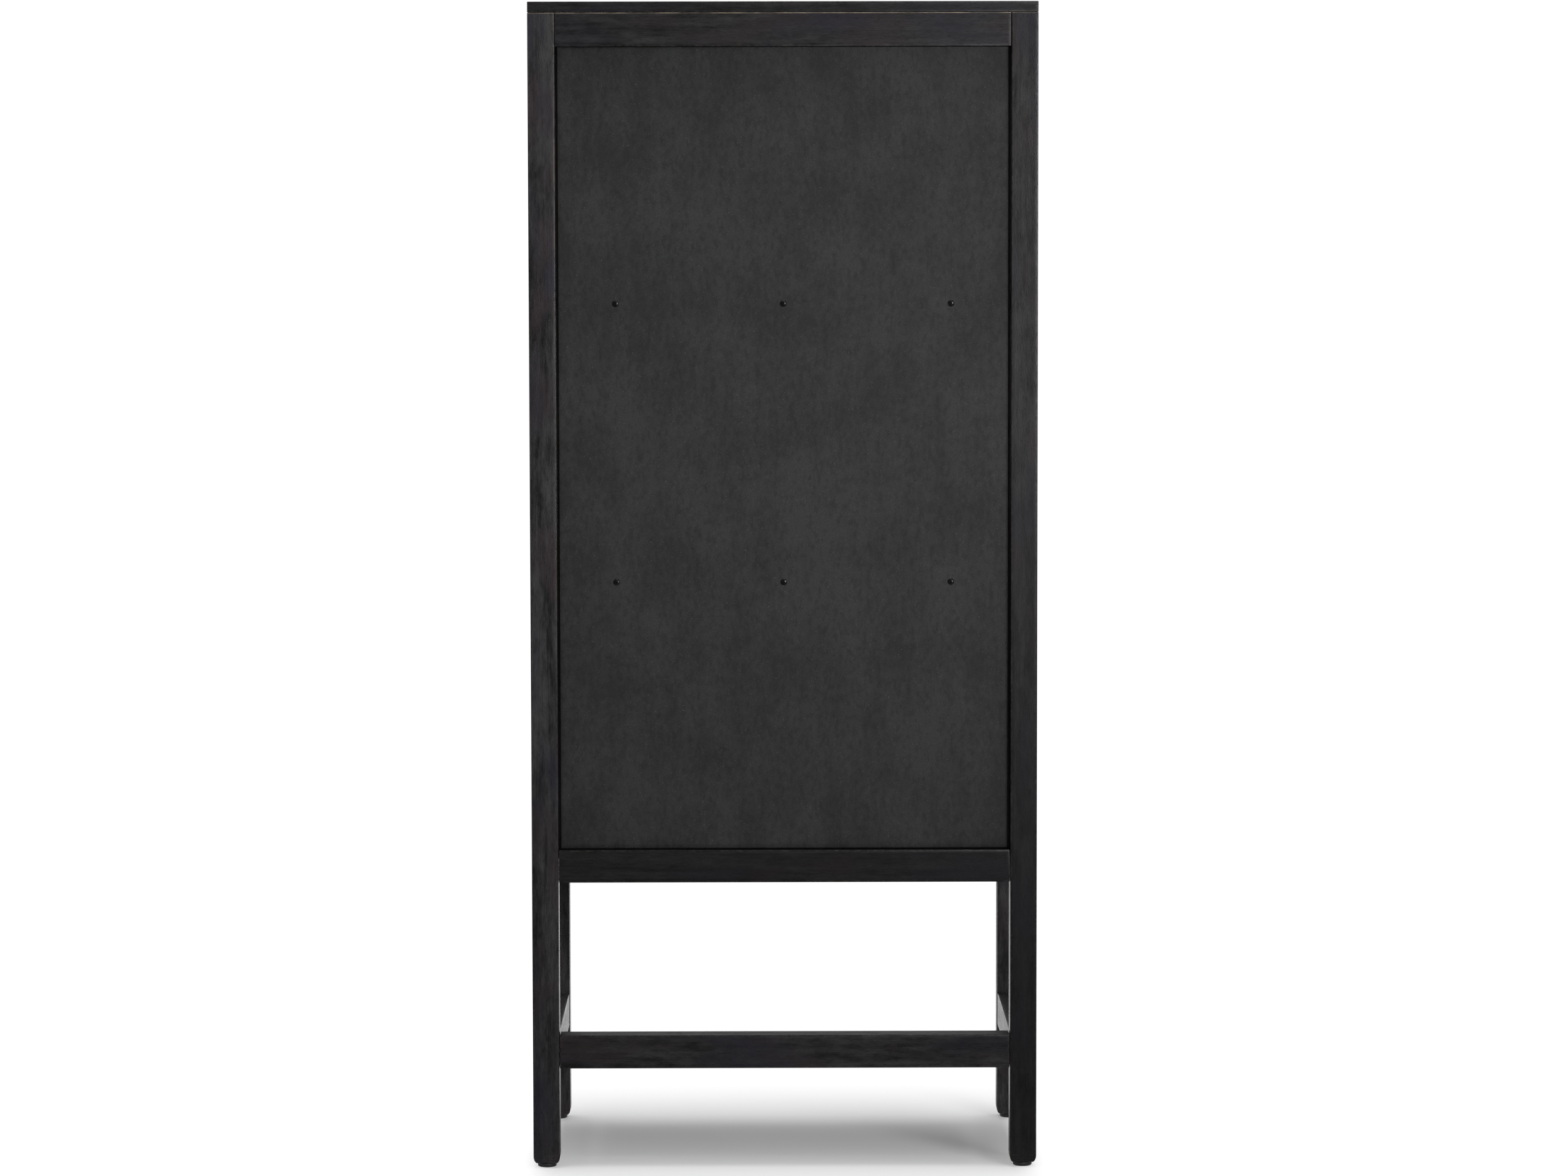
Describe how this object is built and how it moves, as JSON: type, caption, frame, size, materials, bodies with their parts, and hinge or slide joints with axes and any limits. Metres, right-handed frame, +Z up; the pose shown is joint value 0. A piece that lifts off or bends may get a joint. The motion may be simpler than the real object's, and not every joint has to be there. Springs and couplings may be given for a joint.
{
  "type": "apothecary cabinet",
  "caption": "Tall case on legs with a pair of glazed doors over fixed shelves and a bank of small drawers below, for storing jars and dry goods.",
  "frame": {"origin": "on the floor, at the centre of the footprint, knobs included", "axes": "+Z up, the doors and drawers face -Y, +X is the right-hand side as seen from the front"},
  "size_m": [0.8, 0.488, 1.845],
  "materials": {
    "black_wood": "black stain, satin",
    "black_board": "matt dark grey paint on fibreboard",
    "dark_metal": "dark bronze patina",
    "black_metal": "black oxide",
    "black_plastic": "moulded black",
    "clear_glass": "clear float glass"
  },
  "bodies": {
    "case": {"top_board": "black_wood", "back_panel": "black_board", "drawer_grid": "black_wood", "door_catch": "black_metal", "rear_top_rail": "black_wood", "rear_bottom_rail": "black_wood", "front_top_rail": "black_wood", "front_bottom_rail": "black_wood", "left_top_rail": "black_wood", "left_bottom_rail": "black_wood", "right_top_rail": "black_wood", "right_bottom_rail": "black_wood", "rear_stretcher": "black_wood", "left_stretcher": "black_wood", "right_stretcher": "black_wood", "case_floor": "black_wood", "lower_shelf": "black_wood", "upper_shelf": "black_wood", "lower_back_screw_1": "black_metal", "lower_back_screw_2": "black_metal", "lower_back_screw_3": "black_metal", "upper_back_screw_1": "black_metal", "upper_back_screw_2": "black_metal", "upper_back_screw_3": "black_metal", "front_left_post": "black_wood", "front_right_post": "black_wood", "rear_left_post": "black_wood", "rear_right_post": "black_wood", "front_left_glide": "black_plastic", "front_right_glide": "black_plastic", "rear_left_glide": "black_plastic", "rear_right_glide": "black_plastic", "left_side_panel": "black_wood", "right_side_panel": "black_wood", "left_lower_hinge_plate": "dark_metal", "left_upper_hinge_plate": "dark_metal", "right_lower_hinge_plate": "dark_metal", "right_upper_hinge_plate": "dark_metal"},
    "left_door": {"left_door_frame": "black_wood", "left_door_glass": "clear_glass", "left_door_knob": "dark_metal", "left_door_lower_hinge_leaf": "dark_metal", "left_door_upper_hinge_leaf": "dark_metal"},
    "right_door": {"right_door_frame": "black_wood", "right_door_glass": "clear_glass", "right_door_knob": "dark_metal", "right_door_lower_hinge_leaf": "dark_metal", "right_door_upper_hinge_leaf": "dark_metal"},
    "drawer_lower_left": {"lower_left_drawer": "black_wood", "lower_left_drawer_knob": "dark_metal"},
    "drawer_lower_middle": {"lower_middle_drawer": "black_wood", "lower_middle_drawer_knob": "dark_metal"},
    "drawer_lower_right": {"lower_right_drawer": "black_wood", "lower_right_drawer_knob": "dark_metal"},
    "drawer_upper_left": {"upper_left_drawer": "black_wood", "upper_left_drawer_knob": "dark_metal"},
    "drawer_upper_middle": {"upper_middle_drawer": "black_wood", "upper_middle_drawer_knob": "dark_metal"},
    "drawer_upper_right": {"upper_right_drawer": "black_wood", "upper_right_drawer_knob": "dark_metal"}
  },
  "joints": [
    {"name": "left_door_hinge", "type": "hinge", "parent": "case", "child": "left_door", "pos_m": [-0.35675, -0.2204, 1.35], "axis": [0, 0, -1], "range_deg": [0, 170]},
    {"name": "right_door_hinge", "type": "hinge", "parent": "case", "child": "right_door", "pos_m": [0.35675, -0.2204, 1.35], "axis": [0, 0, 1], "range_deg": [0, 170]},
    {"name": "lower_left_drawer_slide", "type": "slide", "parent": "case", "child": "drawer_lower_left", "axis": [0, -1, 0], "range_m": [0, 0.3]},
    {"name": "lower_middle_drawer_slide", "type": "slide", "parent": "case", "child": "drawer_lower_middle", "axis": [0, -1, 0], "range_m": [0, 0.3]},
    {"name": "lower_right_drawer_slide", "type": "slide", "parent": "case", "child": "drawer_lower_right", "axis": [0, -1, 0], "range_m": [0, 0.3]},
    {"name": "upper_left_drawer_slide", "type": "slide", "parent": "case", "child": "drawer_upper_left", "axis": [0, -1, 0], "range_m": [0, 0.3]},
    {"name": "upper_middle_drawer_slide", "type": "slide", "parent": "case", "child": "drawer_upper_middle", "axis": [0, -1, 0], "range_m": [0, 0.3]},
    {"name": "upper_right_drawer_slide", "type": "slide", "parent": "case", "child": "drawer_upper_right", "axis": [0, -1, 0], "range_m": [0, 0.3]}
  ]
}
